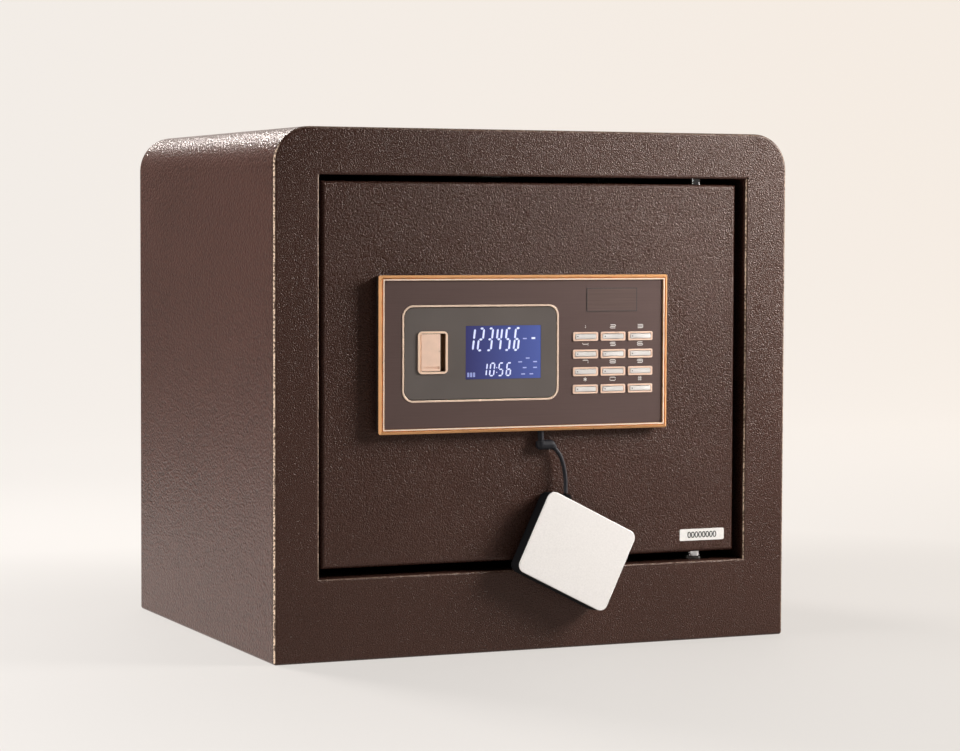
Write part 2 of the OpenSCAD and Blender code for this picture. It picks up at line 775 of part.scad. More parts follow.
module pack_cord() {
    color([0.1, 0.1, 0.12]) swept_cord(cord_route, cord_d, 8);
}

module pack_frame() {
    translate([0, pack_y1, hang_z]) rotate([-pack_lean, 0, 0]) translate([0, -pack_y1, -hang_z])
        translate([pack_pos[0], 0, pack_pos[1]]) rotate([0, pack_tilt, 0]) children();
}

module pack_case() {
    x = pack_w / 2;
    z = pack_h / 2;
    y0 = pack_y0 + 2;
    y1 = pack_y1 - 1.6;
    color([0.07, 0.07, 0.08]) difference() {
        union() {
            pack_frame() plate(-x, -z, x, z, y0, y1, 5.5);
            rod_y(hang_x, hang_z, y0 + 2.3, y1 - 2, hang_r);
        }
        pack_frame() plate(-x + 2, -z + 2, x - 2, z - 2, y0 - 1, y1 + 1, 3.5);
    }
}

module pack_face() {
    x = pack_w / 2;
    z = pack_h / 2;
    color([0.93, 0.91, 0.89]) pack_frame() plate(-x, -z, x, z, pack_y0, pack_y0 + 2, 5.5);
}

module pack_back() {
    x = pack_w / 2;
    z = pack_h / 2;
    color([0.07, 0.07, 0.08]) pack_frame() difference() {
        plate(-x, -z, x, z, pack_y1 - 1.6, pack_y1, 5.5);
        for (i = [-3:3]) block(20, pack_y1 - 0.6, i * 4 - 0.8, 30, pack_y1 + 1, i * 4 + 0.8);
    }
}

module pack_cells() {
    y = (pack_y0 + 2 + pack_y1 - 1.6) / 2;
    color([0.2, 0.45, 0.3]) pack_frame() for (i = [0:3])
        battery(11.2 * i - 21.9, y, -22.5, 5.2, 43.7);
}

front_frame();
door_jamb();
wrap_shell();
base_plate();
back_panel();
floor_mat();
keeper_channel();
hinge_blocks();
shelf();
shelf_rails();
door_plate();
door_pan();
door_cover();
cover_screws();
hinge_pins();
bolt_guides();
carriage_posts();
gear_motor();
lock_cylinder();
battery_tray();
tray_cells();
panel_housing();
panel_trim();
fascia();
window_bezel();
window_plate();
lcd_glass();
lcd_module();
key_surrounds();
key_mat();
control_board();
name_plate();
cover_pocket();
dc_socket();
serial_label();
bolt_carriage();
bolts();
pinion();
key_plug();
key_flap();
reset_button();
battery_hatch();
key_1();
key_2();
key_3();
key_4();
key_5();
key_6();
key_7();
key_8();
key_9();
key_star();
key_0();
key_hash();
cord_plug();
pack_cord();
pack_case();
pack_face();
pack_back();
pack_cells();
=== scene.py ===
import json
import math
import bmesh
import bpy
from mathutils import Matrix, Vector


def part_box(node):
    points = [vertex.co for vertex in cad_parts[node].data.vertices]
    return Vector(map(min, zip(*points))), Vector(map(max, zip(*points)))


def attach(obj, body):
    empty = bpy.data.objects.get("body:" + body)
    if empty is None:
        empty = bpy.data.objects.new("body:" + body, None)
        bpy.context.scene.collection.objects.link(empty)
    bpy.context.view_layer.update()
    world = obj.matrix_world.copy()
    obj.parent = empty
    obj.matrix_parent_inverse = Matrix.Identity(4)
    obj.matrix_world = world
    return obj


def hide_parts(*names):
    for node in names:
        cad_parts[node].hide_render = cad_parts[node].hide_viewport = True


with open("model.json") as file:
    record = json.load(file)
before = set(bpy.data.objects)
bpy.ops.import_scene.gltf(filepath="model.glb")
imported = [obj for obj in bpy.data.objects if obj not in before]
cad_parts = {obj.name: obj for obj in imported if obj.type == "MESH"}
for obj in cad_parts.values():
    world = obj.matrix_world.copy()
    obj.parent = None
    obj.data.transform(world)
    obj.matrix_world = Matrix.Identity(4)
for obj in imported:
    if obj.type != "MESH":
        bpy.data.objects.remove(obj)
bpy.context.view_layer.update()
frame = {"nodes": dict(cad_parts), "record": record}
NODES = frame["nodes"]
MM = 0.001

# ---- camera: lens in mm on a 36 mm sensor, angles in degrees ----

LENS = 105.28
CAMERA_AT = (-0.8017, -1.8812, 0.2886)
YAW = 23.634
PITCH = -3.035
ROLL = 0.204


def make_camera():
    yaw, pitch, roll = (math.radians(a) for a in (YAW, PITCH, ROLL))
    forward = Vector((math.sin(yaw) * math.cos(pitch), math.cos(yaw) * math.cos(pitch), math.sin(pitch)))
    right = Vector((math.cos(yaw), -math.sin(yaw), 0))
    up = right.cross(forward)
    turned = math.cos(roll) * right + math.sin(roll) * up
    upright = math.cos(roll) * up - math.sin(roll) * right
    data = bpy.data.cameras.new("camera")
    data.sensor_width = 36
    data.lens = LENS
    data.clip_end = 50
    camera = bpy.data.objects.new("camera", data)
    bpy.context.scene.collection.objects.link(camera)
    axes = Matrix((turned, upright, -forward)).transposed().to_4x4()
    camera.matrix_world = Matrix.Translation(CAMERA_AT) @ axes
    bpy.context.scene.camera = camera


make_camera()

# ---- cord: the route of the CAD tube, in mm ----

CORD_D = 2.8 * MM
CORD_ROUTE = [
    (12.0, -150.0, 137.3), (13.1, -150.0, 136.3), (14.3, -150.2, 134.8), (15.5, -150.5, 132.8),
    (16.5, -150.9, 130.4), (17.3, -151.2, 127.7), (18.0, -151.5, 124.8), (18.5, -151.8, 121.8),
    (18.8, -152.1, 118.8), (18.9, -152.4, 115.8), (18.9, -152.6, 114.4), (18.8, -152.8, 112.9),
    (18.6, -153.2, 110.1), (18.5, -153.6, 108.3), (18.4, -153.9, 106.9),
]


def make_cord():
    points = [Vector(p) * MM for p in CORD_ROUTE]
    curve = bpy.data.curves.new("battery_cord", "CURVE")
    curve.dimensions = "3D"
    curve.bevel_depth = 1.0
    curve.bevel_resolution = 6
    spline = curve.splines.new("POLY")
    spline.points.add(len(points) - 1)
    for point, place in zip(spline.points, points):
        point.co = (*place, 1)
        point.radius = CORD_D / 2
    spline.use_smooth = True
    cord = bpy.data.objects.new("battery_cord", curve)
    bpy.context.scene.collection.objects.link(cord)
    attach(cord, "plug")
    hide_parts("pack_cord")
    return cord


cord = make_cord()

# ---- materials ----


class Shader:
    """A material with its nodes, made one call at a time."""

    def __init__(self, name, **values):
        self.material = bpy.data.materials.new(name)
        self.material.use_nodes = True
        self.tree = self.material.node_tree
        self.bsdf = self.tree.nodes["Principled BSDF"]
        for key, value in values.items():
            self.bsdf.inputs[key.replace("_", " ")].default_value = value
        self.place = self.add("ShaderNodeTexCoord").outputs["Object"]

    def add(self, kind, **values):
        node = self.tree.nodes.new(kind)
        for key, value in values.items():
            if hasattr(node, key):
                setattr(node, key, value)
            else:
                node.inputs[key.replace("_", " ")].default_value = value
        return node

    def link(self, output, target):
        self.tree.links.new(output, target)

    def stretched(self, scale):
        node = self.add("ShaderNodeMapping", Scale=scale)
        self.link(self.place, node.inputs["Vector"])
        return node.outputs["Vector"]

    def noise(self, scale, detail=3.0, roughness=0.5, stretch=None):
        node = self.add("ShaderNodeTexNoise", Scale=scale, Detail=detail, Roughness=roughness)
        self.link(self.stretched(stretch) if stretch else self.place, node.inputs["Vector"])
        return node.outputs["Fac"]

    def cells(self, scale):
        node = self.add("ShaderNodeTexVoronoi", Scale=scale)
        self.link(self.place, node.inputs["Vector"])
        return node.outputs["Distance"]

    def math(self, operation, a, b):
        node = self.add("ShaderNodeMath", operation=operation)
        for socket, value in zip(node.inputs, (a, b)):
            if isinstance(value, (int, float)):
                socket.default_value = value
            else:
                self.link(value, socket)
        return node.outputs["Value"]

    def ramp(self, fac, *stops):
        node = self.add("ShaderNodeValToRGB")
        elements = node.color_ramp.elements
        while len(elements) < len(stops):
            elements.new(0.5)
        for element, (place, colour) in zip(elements, stops):
            element.position = place
            element.color = (*colour, 1) if len(colour) == 3 else colour
        self.link(fac, node.inputs["Fac"])
        return node.outputs["Color"]

    def colour(self, output):
        self.link(output, self.bsdf.inputs["Base Color"])

    def roughness(self, fac, low, high):
        node = self.add("ShaderNodeMapRange", To_Min=low, To_Max=high)
        self.link(fac, node.inputs["Value"])
        self.link(node.outputs["Result"], self.bsdf.inputs["Roughness"])

    def bump(self, height, strength, distance):
        node = self.add("ShaderNodeBump", Strength=strength, Distance=distance)
        self.link(height, node.inputs["Height"])
        self.link(node.outputs["Normal"], self.bsdf.inputs["Normal"])


CELLS_TO_GRAIN = 1.16
GRAIN_DEPTH = 0.65 * MM
# colour of the painted edge highlights, which lighten the coat in beads
HIGHLIGHT_COLOUR = (0.95, 0.72, 0.53, 1)


def coat(name, dark, light, bump, rough=(0.22, 0.34), highlights=(), span=(0.35, 0.8), fine=1120.0, cloudy=0.3):
    """Leather-grained powder coat, with painted highlights in beads where the surface faces given
    directions.
    """
    s = Shader(name, IOR=1.4, Specular_Tint=(1.0, 0.86, 0.78, 1))
    grain = s.noise(fine, 1.5, 0.5)
    cells = s.cells(fine * CELLS_TO_GRAIN)
    height = s.math("ADD", grain, s.math("MULTIPLY", cells, 0.5))
    patch = s.noise(9.0, 2.0)
    mixed = s.math("ADD", s.math("MULTIPLY", height, 0.6), s.math("MULTIPLY", patch, cloudy))
    colour = s.ramp(mixed, (span[0], dark), (span[1], light))
    for direction, width, strength in highlights:
        colour = painted_highlight(s, colour, direction, width, strength)
    s.colour(colour)
    s.roughness(grain, *rough)
    s.bump(height, bump, GRAIN_DEPTH)
    return s.material


def painted_highlight(s, colour, direction, width, strength):
    """Paints a highlight in beads: lightens a colour where the surface faces about one direction."""
    face = s.add("ShaderNodeNewGeometry").outputs["Normal"]
    aim = s.add("ShaderNodeVectorMath", operation="DOT_PRODUCT")
    s.link(face, aim.inputs[0])
    aim.inputs[1].default_value = direction
    near = s.add("ShaderNodeMapRange", interpolation_type="SMOOTHSTEP",
                 From_Min=1.0 - width, From_Max=1.0)
    s.link(aim.outputs["Value"], near.inputs["Value"])
    beads = s.ramp(s.noise(760.0, 1.0), (0.42, (0.12, 0.12, 0.12)), (0.56, (1.0, 1.0, 1.0)))
    amount = s.math("MULTIPLY", s.math("MULTIPLY", near.outputs["Result"], beads), strength)
    mix = s.add("ShaderNodeMix", data_type="RGBA")
    s.link(amount, mix.inputs[0])
    s.link(colour, mix.inputs[6])
    mix.inputs[7].default_value = HIGHLIGHT_COLOUR
    return mix.outputs[2]


def brushed(name, dark, light, metallic, roughness, stretch):
    """Fine straight lines, along the axis that is stretched least."""
    s = Shader(name, Metallic=metallic)
    lines = s.noise(1.0, 3.0, 0.6, stretch)
    s.colour(s.ramp(lines, (0.3, dark), (0.7, light)))
    s.roughness(lines, roughness, roughness + 0.15)
    s.bump(lines, 0.05, 0.03 * MM)
    return s.material


def metal(name, colour, roughness, metallic=1.0):
    """Plated or machined metal with faint uneven polish."""
    s = Shader(name, Metallic=metallic)
    cloud = s.noise(160.0, 3.0)
    s.colour(s.ramp(cloud, (0.3, tuple(c * 0.9 for c in colour)), (0.7, colour)))
    s.roughness(cloud, roughness, roughness + 0.08)
    return s.material


def plastic(name, colour, roughness, grain=600.0, bump=0.06, coat_weight=0.0, shine=0.5):
    """Moulded plastic with a fine spark-eroded grain."""
    s = Shader(name, Coat_Weight=coat_weight, Specular_IOR_Level=shine)
    cloud = s.noise(grain, 2.0)
    s.colour(s.ramp(cloud, (0.3, tuple(c * 0.92 for c in colour)), (0.7, colour)))
    s.roughness(cloud, roughness, roughness + 0.1)
    s.bump(cloud, bump, 0.1 * MM)
    return s.material


def recessed(name, colour, shade_colour, node):
    """Metal with painted shade: it darkens behind the front edge of its node."""
    s = Shader(name, Metallic=0.12)
    split = s.add("ShaderNodeSeparateXYZ")
    s.link(s.place, split.inputs["Vector"])
    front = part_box(node)[0][1]
    depth = s.add("ShaderNodeMapRange", From_Min=front + 0.4 * MM, From_Max=front + 1.4 * MM)
    s.link(split.outputs["Y"], depth.inputs["Value"])
    s.colour(s.ramp(depth.outputs["Result"], (0.0, colour), (1.0, shade_colour)))
    s.roughness(s.noise(160.0), 0.25, 0.33)
    return s.material


def glowing(name, left, right, strength, node="lcd_glass"):
    """Backlit panel with painted light: its colour shifts from its left edge to a brighter one at its
    right edge.
    """
    s = Shader(name, Roughness=0.25, Emission_Strength=strength)
    split = s.add("ShaderNodeSeparateXYZ")
    s.link(s.place, split.inputs["Vector"])
    low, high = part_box(node)
    across = s.add("ShaderNodeMapRange", From_Min=low[0], From_Max=high[0])
    s.link(split.outputs["X"], across.inputs["Value"])
    colour = s.ramp(across.outputs["Result"], (0.0, left), (1.0, right))
    s.colour(colour)
    s.link(colour, s.bsdf.inputs["Emission Color"])
    return s.material


def felt(name, colour):
    s = Shader(name, Roughness=0.95, Sheen_Weight=0.3)
    fibre = s.noise(900.0, 4.0)
    s.colour(s.ramp(fibre, (0.3, tuple(c * 0.6 for c in colour)), (0.7, colour)))
    s.bump(fibre, 0.6, 0.5 * MM)
    return s.material


DARK_BROWN = (0.027, 0.0112, 0.0075)
LIGHT_BROWN = (0.06, 0.026, 0.019)
BODY_COAT = coat("body_coat", DARK_BROWN, LIGHT_BROWN, 0.6)
# painted edge highlights: each facing direction with its width and strength
EDGE_HIGHLIGHTS = (
    ((-0.83, -0.55, 0.0), 0.15, 1.0),
    ((0.6, -0.8, 0.0), 0.12, 0.3),
    ((0.0, -0.75, 0.66), 0.1, 0.14),
)
# the front frame carries painted highlights along its rolled edges
FRAME_COAT = coat("frame_coat", DARK_BROWN, LIGHT_BROWN, 0.6, highlights=EDGE_HIGHLIGHTS)
SIDE_COAT = coat("side_coat", (0.02, 0.0085, 0.006), (0.085, 0.039, 0.03), 0.9, (0.26, 0.36),
                 span=(0.32, 0.56), fine=520.0, cloudy=0.1)
INNER_COAT = coat("inner_coat", (0.06, 0.034, 0.026), (0.095, 0.056, 0.044), 0.2)
FASCIA = brushed("fascia", (0.118, 0.077, 0.07), (0.132, 0.087, 0.079), 0.5, 0.34, (30.0, 30.0, 3000.0))
NAME_PLATE = brushed("name_plate", (0.1, 0.064, 0.056), (0.132, 0.088, 0.077), 0.5, 0.38,
                     (30.0, 30.0, 3000.0))
SMOKE = plastic("smoked_window", (0.13, 0.113, 0.104), 0.2, 30.0, 0.0, 0.5)
GOLD = metal("gold_trim", (0.92, 0.47, 0.2), 0.25, 0.35)
PEACH = metal("peach_gold", (0.95, 0.72, 0.56), 0.22, 0.2)
# pale gold for the painted highlight on the trim's bead
HIGHLIGHT_GOLD = metal("pale_gold", (0.97, 0.82, 0.66), 0.25, 0.1)
ROSE = metal("rose_gold", (0.97, 0.7, 0.55), 0.25, 0.12)
# painted shade darkens the pocket's walls and floor with depth
POCKET = recessed("pocket_gold", (0.95, 0.7, 0.53), (0.11, 0.06, 0.025), "cover_pocket")
SILVER = metal("silver_key", (0.9, 0.87, 0.84), 0.3, 0.35)
DARK_STEEL = metal("dark_steel", (0.08, 0.07, 0.065), 0.35)
STEEL = metal("zinc_steel", (0.58, 0.58, 0.56), 0.35)
CHROME = metal("chrome_steel", (0.85, 0.85, 0.86), 0.12)
BRASS = metal("brass", (0.8, 0.58, 0.25), 0.25)
BLACK = plastic("black_plastic", (0.012, 0.012, 0.013), 0.4)
BROWN = plastic("brown_plastic", (0.02, 0.014, 0.012), 0.3)
WHITE = plastic("white_plastic", (0.87, 0.845, 0.82), 0.25, 900.0, 0.0, 0.3)
LABEL = plastic("label_white", (0.85, 0.83, 0.8), 0.45)
RED = plastic("red_plastic", (0.55, 0.03, 0.02), 0.3)
GREEN = plastic("board_green", (0.03, 0.14, 0.06), 0.35)
CELL = plastic("cell_jacket", (0.05, 0.22, 0.1), 0.2)
SILICONE = plastic("silicone", (0.3, 0.3, 0.3), 0.6)
CORD = plastic("cord_rubber", (0.008, 0.008, 0.012), 0.5, shine=0.3)
MATT_BLACK = plastic("matt_black", (0.004, 0.004, 0.005), 0.75, shine=0.12)
CARPET = felt("carpet", (0.07, 0.07, 0.078))
# the display, its digits and icons glow, with painted light brightening them towards the right
LCD = glowing("lcd_blue", (0.026, 0.026, 0.09), (0.052, 0.072, 0.225), 0.7)
DIGIT = glowing("lcd_digit", (0.5, 0.54, 0.8), (0.6, 0.64, 0.86), 0.5)
ICON = glowing("lcd_icon", (0.2, 0.23, 0.45), (0.3, 0.34, 0.6), 0.5)
PRINT = plastic("white_print", (0.8, 0.77, 0.74), 0.5)
INK = plastic("ink", (0.03, 0.03, 0.03), 0.6)

BY_SLOT = {
    "body_coat": BODY_COAT, "inner_coat": INNER_COAT, "carpet": CARPET, "zinc_steel": STEEL,
    "chrome_steel": CHROME, "black_plastic": BLACK, "brown_plastic": BROWN, "brass": BRASS,
    "cell_jacket": CELL, "gold_trim": GOLD, "rose_gold": ROSE, "brushed_brown": FASCIA,
    "smoked_window": SMOKE, "lcd_blue": LCD, "board_green": GREEN, "silicone": SILICONE,
    "silver_key": SILVER, "white_plastic": WHITE, "label_white": LABEL, "red_plastic": RED,
    "cord_black": CORD, "dark_steel": DARK_STEEL,
}


def paint(obj, material):
    obj.data.materials.clear()
    obj.data.materials.append(material)


def paint_nodes():
    for part in frame["record"]["subparts"]:
        paint(NODES[part["node"]], BY_SLOT[part["material_slot"]])
    paint(NODES["name_plate"], NAME_PLATE)
    paint(NODES["front_frame"], FRAME_COAT)
    paint(NODES["window_bezel"], PEACH)
    paint(NODES["cover_pocket"], POCKET)
    paint(NODES["hinge_pins"], CHROME)
    paint(NODES["pack_back"], MATT_BLACK)
    paint(NODES["pack_case"], MATT_BLACK)
    for node in ("wrap_shell", "back_panel"):
        paint(NODES[node], SIDE_COAT)
    paint(cord, CORD)


def soften(node, width, segments=3):
    """Rounds a CAD node's sharp edges a little, so that they catch the light."""
    obj = NODES[node]
    weld = obj.modifiers.new("weld", "WELD")
    weld.merge_threshold = 0.002 * MM
    flat = obj.modifiers.new("flat", "DECIMATE")
    flat.decimate_type = "DISSOLVE"
    flat.angle_limit = math.radians(1)
    bevel = obj.modifiers.new("bevel", "BEVEL")
    bevel.width = width
    bevel.segments = segments
    bevel.limit_method = "ANGLE"
    bevel.angle_limit = math.radians(35)
    bevel.harden_normals = True


paint_nodes()
NOT_KEYS = ("key_surrounds", "key_mat", "key_plug", "key_flap")
KEYS = [name for name in NODES if name.startswith("key_") and name not in NOT_KEYS]
for name in KEYS + ["key_surrounds", "key_flap", "window_bezel"]:
    soften(name, 0.25 * MM)
for name in ("pack_face", "pack_back", "panel_housing"):
    soften(name, 0.6 * MM)

# ---- printed and backlit details on the panel, and a painted highlight on its trim ----

SEGMENTS = {
    "0": "abcdef", "1": "bc", "2": "abged", "3": "abgcd", "4": "fgbc", "5": "afgcd",
    "6": "afgcde", "7": "abc", "8": "abcdefg", "9": "abcdfg",
}
SLANT = 0.12


def bar(a, b, width):
    """Six-sided bar between two points in the plane."""
    a, b = Vector(a), Vector(b)
    along = (b - a).normalized()
    side = Vector((-along.y, along.x)) * width / 2
    tip = along * width / 2
    return [a, a + tip + side, b - tip + side, b, b - tip - side, a + tip - side]


def segment_lines(w, h):
    """The seven bars of a digit as pairs of end points, from its lower left corner."""
    return {
        "a": ((0, h), (w, h)), "b": ((w, h), (w, h / 2)), "c": ((w, h / 2), (w, 0)),
        "d": ((0, 0), (w, 0)), "e": ((0, h / 2), (0, 0)), "f": ((0, h), (0, h / 2)),
        "g": ((0, h / 2), (w, h / 2)),
    }


def flat_piece(name, outlines, y, thick, material, body):
    """A thin raised flat piece for prints, backlit marks and painted highlights: outlines in x and z,
    standing out towards the front from y.
    """
    mesh = bpy.data.meshes.new(name)
    bm = bmesh.new()
    for outline in outlines:
        front = [bm.verts.new((p[0], y - thick, p[1])) for p in outline]
        back = [bm.verts.new((p[0], y, p[1])) for p in outline]
        bm.faces.new(front)
        bm.faces.new(back[::-1])
        for i in range(len(outline)):
            j = (i + 1) % len(outline)
            bm.faces.new((front[i], back[i], back[j], front[j]))
    bmesh.ops.recalc_face_normals(bm, faces=bm.faces)
    bm.to_mesh(mesh)
    bm.free()
    obj = bpy.data.objects.new(name, mesh)
    bpy.context.scene.collection.objects.link(obj)
    paint(obj, material)
    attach(obj, body)


def digits(text, x, z, w, h, pitch, width, slant=SLANT):
    """Seven-bar digits as outlines, from their lower left corner."""
    outlines = []
    for i, char in enumerate(text):
        for name in SEGMENTS.get(char, ""):
            a, b = segment_lines(w, h)[name]
            shrink = Vector(b) - Vector(a)
            gap = shrink.normalized() * width * 0.25
            ends = Vector(a) + gap, Vector(b) - gap
            outlines.append([(x + i * pitch + p.x + slant * p.y, z + p.y) for p in bar(*ends, width)])
    return outlines


def box_outline(x, z, w, h):
    return [(x, z), (x + w, z), (x + w, z + h), (x, z + h)]


def make_display():
    """Digits and small bars on the display, placed by fractions of its width and height."""
    low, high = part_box("lcd_glass")
    w, h = high[0] - low[0], high[2] - low[2]
    thick = 0.04 * MM

    def number(text, left, foot, wide, tall, pitch, width):
        return digits(text, low[0] + left * w, low[2] + foot * h, wide * w, tall * h, pitch * w, width * w)

    def mark(left, foot, wide, tall):
        return box_outline(low[0] + left * w, low[2] + foot * h, wide * w, tall * h)

    code = number("123456", 0.035, 0.54, 0.056, 0.41, 0.12, 0.025)
    clock = number("10", 0.215, 0.06, 0.053, 0.235, 0.1, 0.017)
    clock += number("56", 0.43, 0.06, 0.053, 0.235, 0.105, 0.017)
    clock += [mark(0.405, foot, 0.012, 0.02) for foot in (0.11, 0.2)]
    lamp = [mark(0.875, 0.74, 0.05, 0.035)]
    battery_bars = [mark(left, 0.04, 0.028, 0.085) for left in (0.02, 0.058, 0.096)]
    dash_places = ((0.76, 0.74), (0.7, 0.3), (0.8, 0.37), (0.9, 0.3), (0.76, 0.19), (0.9, 0.19),
                   (0.74, 0.07), (0.85, 0.07))
    dashes = [mark(left, foot, 0.05, 0.022) for left, foot in dash_places]
    flat_piece("lcd_code_digits", code, low[1], thick, DIGIT, "door")
    flat_piece("lcd_clock_digits", clock + lamp, low[1], thick, DIGIT, "door")
    flat_piece("lcd_icons", battery_bars + dashes, low[1], thick, ICON, "door")


def make_text(name, body, text, x, y, z, size, material):
    """Flat printed sign, centred on x and standing on z, facing the front."""
    curve = bpy.data.curves.new(name, "FONT")
    curve.body = text
    curve.size = size
    curve.align_x = "CENTER"
    curve.space_character = 0.92
    curve.offset = 0.06 * MM
    curve.extrude = 0.02 * MM
    curve.resolution_u = 3
    obj = bpy.data.objects.new(name, curve)
    bpy.context.scene.collection.objects.link(obj)
    obj.matrix_world = Matrix.Translation((x, y, z)) @ Matrix.Rotation(math.pi / 2, 4, "X")
    bpy.context.view_layer.update()
    paint(obj, material)
    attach(obj, body)


def star(x, z, size, width):
    """Three crossed bars about a point."""
    outlines = []
    for turn in (30, 90, 150):
        arm = Vector((math.cos(math.radians(turn)), math.sin(math.radians(turn)))) * size / 2
        outlines.append([(x + p.x, z + p.y) for p in bar(-arm, arm, width)])
    return outlines


def hash_sign(x, z, size, width):
    """Two level bars crossed by two upright ones."""
    half, off = size / 2, size / 5
    lines = [((-half, f), (half, f)) for f in (-off, off)]
    lines += [((f, -half), (f, half)) for f in (-off, off)]
    return [[(x + p.x, z + p.y) for p in bar(a, b, width)] for a, b in lines]


SIGN_W = 4.1 * MM
SIGN_H = 2.2 * MM
SIGN_BAR = 0.5 * MM
SIGN_RISE = 5.6 * MM
DOT_R = 0.4 * MM
DOT_INSET = 2.6 * MM


def key_sign(node, x, z):
    """The sign printed over a key, centred on x and standing on z."""
    if node == "key_star":
        return star(x, z + SIGN_H / 2, 3.0 * MM, SIGN_BAR)
    if node == "key_hash":
        return hash_sign(x, z + SIGN_H / 2, 3.2 * MM, SIGN_BAR * 0.7)
    # a 1 has only its right-hand bars, so it is centred on them
    shift = -SIGN_W if node == "key_1" else -SIGN_W / 2
    return digits(node[-1], x + shift, z, SIGN_W, SIGN_H, 0, SIGN_BAR, 0)


def dot_outline(x, z, radius, corners=12):
    turns = (2 * math.pi * k / corners for k in range(corners))
    return [(x + radius * math.cos(a), z + radius * math.sin(a)) for a in turns]


def make_key_prints():
    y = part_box("fascia")[0][1]
    for node in KEYS:
        low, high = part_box(node)
        x = (low[0] + high[0]) / 2
        z = (low[2] + high[2]) / 2
        sign = key_sign(node, x, z + SIGN_RISE)
        flat_piece(node + "_print", sign, y, 0.05 * MM, PRINT, "door")
        dot = dot_outline(low[0] + DOT_INSET, z, DOT_R)
        flat_piece(node + "_dot", [dot], low[1], 0.04 * MM, INK, node)


def frame_lines(x, z, w, h, line):
    """Four thin bars just inside a box."""
    level = [box_outline(x, z, w, line), box_outline(x, z + h - line, w, line)]
    upright = [box_outline(side, z + line, line, h - 2 * line) for side in (x, x + w - line)]
    return level + upright


def make_trim_highlight():
    """The pale line along the inner edge of the panel's trim: a painted highlight where its bead catches
    the light.
    """
    low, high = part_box("panel_trim")
    inset = 2.5 * MM
    lines = frame_lines(low[0] + inset, low[2] + inset, high[0] - low[0] - 2 * inset,
                        high[2] - low[2] - 2 * inset, 0.8 * MM)
    flat_piece("trim_highlight", lines, low[1], 0.05 * MM, HIGHLIGHT_GOLD, "door")


def make_name_outline():
    low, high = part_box("name_plate")
    x, z, w, h = low[0], low[2], high[0] - low[0], high[2] - low[2]
    flat_piece("name_plate_outline", frame_lines(x, z, w, h, 0.35 * MM), low[1], 0.03 * MM, INK, "door")


def make_label_digits():
    low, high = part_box("serial_label")
    w, h = high[0] - low[0], high[2] - low[2]
    make_text("label_number", "door", "00000000", (low[0] + high[0]) / 2, low[1] - 0.03 * MM,
              low[2] + 0.24 * h, 0.76 * h, INK)


make_display()
make_key_prints()
make_trim_highlight()
make_name_outline()
make_label_digits()

# ---- studio ----

FLOOR_GLOW = 0.825
NEAR_SHADE = 0.81
SHADE_REACH = 0.4
SHADE_CENTRE_X = 0.08
SHADE_HALF_X = 0.2
SHADE_HALF_Y = 0.15
WORLD_LIGHT = 0.05
WORLD_SEEN = 0.85


def fade(s, value, low, high, least):
    """Rises from least to 1 between two places along an axis."""
    node = s.add("ShaderNodeMapRange", interpolation_type="SMOOTHSTEP", From_Min=low, From_Max=high,
                 To_Min=least, To_Max=1.0)
    s.link(value, node.inputs["Value"])
    return node.outputs["Result"]


def direct_view(s):
    """1 for what is seen directly and 0 for light that bounces."""
    return s.add("ShaderNodeLightPath").outputs["Is Camera Ray"]


def soft_shade(s, x, y):
    """Dims the floor softly close to the object, and a little further to its right."""
    aside = s.math("SUBTRACT", s.math("ABSOLUTE", s.math("SUBTRACT", x, SHADE_CENTRE_X), 0), SHADE_HALF_X)
    ahead = s.math("SUBTRACT", s.math("ABSOLUTE", y, 0), SHADE_HALF_Y)
    squares = [s.math("POWER", s.math("MAXIMUM", gap, 0.0), 2.0) for gap in (aside, ahead)]
    away = s.math("POWER", s.math("ADD", *squares), 0.5)
    node = s.add("ShaderNodeMapRange", From_Min=0.0, From_Max=SHADE_REACH, To_Min=NEAR_SHADE, To_Max=1.0)
    s.link(away, node.inputs["Value"])
    return node.outputs["Result"]


def floor_mesh():
    """Floor that curves up into a backdrop: a profile in y and z, drawn out along x."""
    near, far, radius, half, top = -4.0, 3.2, 1.6, 7.0, 5.0
    profile = [(near, 0.0), (far - radius, 0.0)]
    profile += [(far - radius + radius * math.sin(a), radius - radius * math.cos(a))
                for a in (math.radians(5 * k) for k in range(1, 19))]
    profile.append((far, top))
    verts = [(x, y, z) for y, z in profile for x in (-half, half)]
    faces = [(2 * i, 2 * i + 1, 2 * i + 3, 2 * i + 2) for i in range(len(profile) - 1)]
    mesh = bpy.data.meshes.new("studio_floor")
    mesh.from_pydata(verts, [], faces)
    for face in mesh.polygons:
        face.use_smooth = True
    return mesh


def floor_colour(s, x, warmth, seen):
    """Grey that warms to the right, and looks darker under the lamp at the far left."""
    grey = s.ramp(warmth, (0.0, (0.12, 0.117, 0.114)), (1.0, (0.12, 0.114, 0.108)))
    not_seen = s.math("SUBTRACT", 1.0, seen)
    share = s.math("MAXIMUM", fade(s, x, -1.1, -0.55, 0.12), not_seen)
    scaled = s.add("ShaderNodeVectorMath", operation="SCALE")
    s.link(grey, scaled.inputs[0])
    s.link(share, scaled.inputs["Scale"])
    s.colour(scaled.outputs["Vector"])


def floor_glow(s, x, y, seen):
    """Pale where it is seen directly. In reflections it darkens far in front, far left and behind left."""
    shown = s.math("MULTIPLY", fade(s, y, -0.5, 1.2, 0.825), soft_shade(s, x, y))
    across = s.math("SUBTRACT", x, s.math("MULTIPLY", y, 0.25))
    mirrored = s.math("MAXIMUM", fade(s, across, -0.7, -0.36, 0.25), fade(s, y, 1.4, 0.7, 0.0))
    for value in (y, x):
        mirrored = s.math("MULTIPLY", mirrored, fade(s, value, -0.9, -0.5, 0.05))
    glow = s.math("MULTIPLY", shown, s.math("MAXIMUM", mirrored, seen))
    return s.math("MULTIPLY", glow, FLOOR_GLOW)


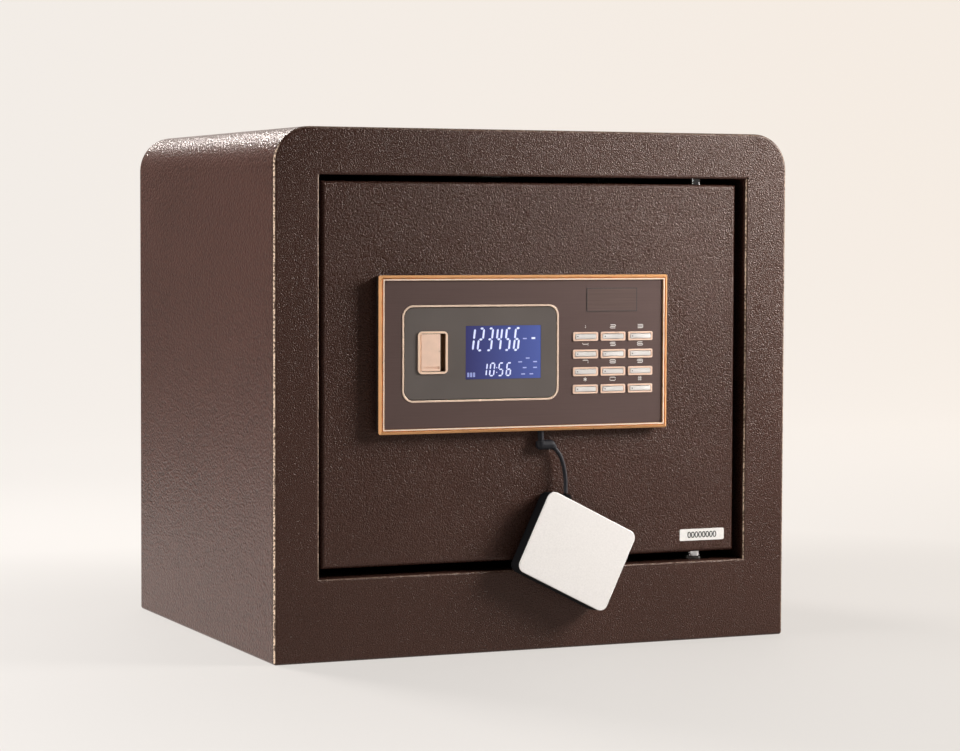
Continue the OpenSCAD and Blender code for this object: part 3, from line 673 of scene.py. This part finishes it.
def floor_material():
    s = Shader("studio_floor", Roughness=0.7, Specular_IOR_Level=0.1)
    split = s.add("ShaderNodeSeparateXYZ")
    s.link(s.place, split.inputs["Vector"])
    x, y = split.outputs["X"], split.outputs["Y"]
    seen = direct_view(s)
    warmth = s.math("MULTIPLY", s.math("ADD", x, 1.0), 0.33)
    floor_colour(s, x, warmth, seen)
    tint = s.ramp(warmth, (0.0, (1.0, 0.97, 0.94)), (1.0, (1.05, 0.965, 0.88)))
    s.link(tint, s.bsdf.inputs["Emission Color"])
    s.link(floor_glow(s, x, y, seen), s.bsdf.inputs["Emission Strength"])
    return s.material


def make_stage():
    floor = bpy.data.objects.new("studio_floor", floor_mesh())
    bpy.context.scene.collection.objects.link(floor)
    paint(floor, floor_material())


def area_light(name, place, target, size, power, colour, spread=180):
    data = bpy.data.lights.new(name, "AREA")
    data.shape = "RECTANGLE"
    data.size, data.size_y = size
    data.energy = power
    data.spread = math.radians(spread)
    data.color = colour
    light = bpy.data.objects.new(name, data)
    bpy.context.scene.collection.objects.link(light)
    light.location = place
    light.visible_camera = False
    light.rotation_euler = (Vector(target) - Vector(place)).to_track_quat("-Z", "Y").to_euler()


def make_world():
    """Pale behind the floor, and dim as a light."""
    world = bpy.data.worlds.new("studio")
    world.use_nodes = True
    background = world.node_tree.nodes["Background"].inputs
    background["Color"].default_value = (1.0, 0.95, 0.91, 1)
    path = world.node_tree.nodes.new("ShaderNodeLightPath")
    level = world.node_tree.nodes.new("ShaderNodeMapRange")
    level.inputs["To Min"].default_value = WORLD_LIGHT
    level.inputs["To Max"].default_value = WORLD_SEEN
    world.node_tree.links.new(path.outputs["Is Camera Ray"], level.inputs["Value"])
    world.node_tree.links.new(level.outputs["Result"], background["Strength"])
    bpy.context.scene.world = world


def make_lights():
    area_light("key", (2.2, -1.5, 1.6), (0, -0.1, 0.2), (0.3, 0.3), 9, (1.0, 0.96, 0.92))
    area_light("right_box", (0.78, -0.52, 0.56), (0.17, -0.15, 0.28), (0.4, 0.4), 3.5,
               (1.0, 0.965, 0.94), spread=80)
    area_light("rear_left", (-0.8, 1.9, 1.9), (-0.19, 0.0, 0.34), (0.8, 0.3), 9,
               (1.0, 0.95, 0.92), spread=60)
    area_light("left_strip", (-1.7, -0.2, 0.7), (-0.19, -0.05, 0.18), (0.25, 1.5), 27,
               (1.0, 0.97, 0.95))
    area_light("overhead", (0.8, 1.4, 2.8), (0.8, 1.6, 0), (3.4, 2.0), 12, (1.0, 0.96, 0.92))


make_stage()
make_world()
make_lights()
bpy.context.scene.view_settings.view_transform = "Standard"
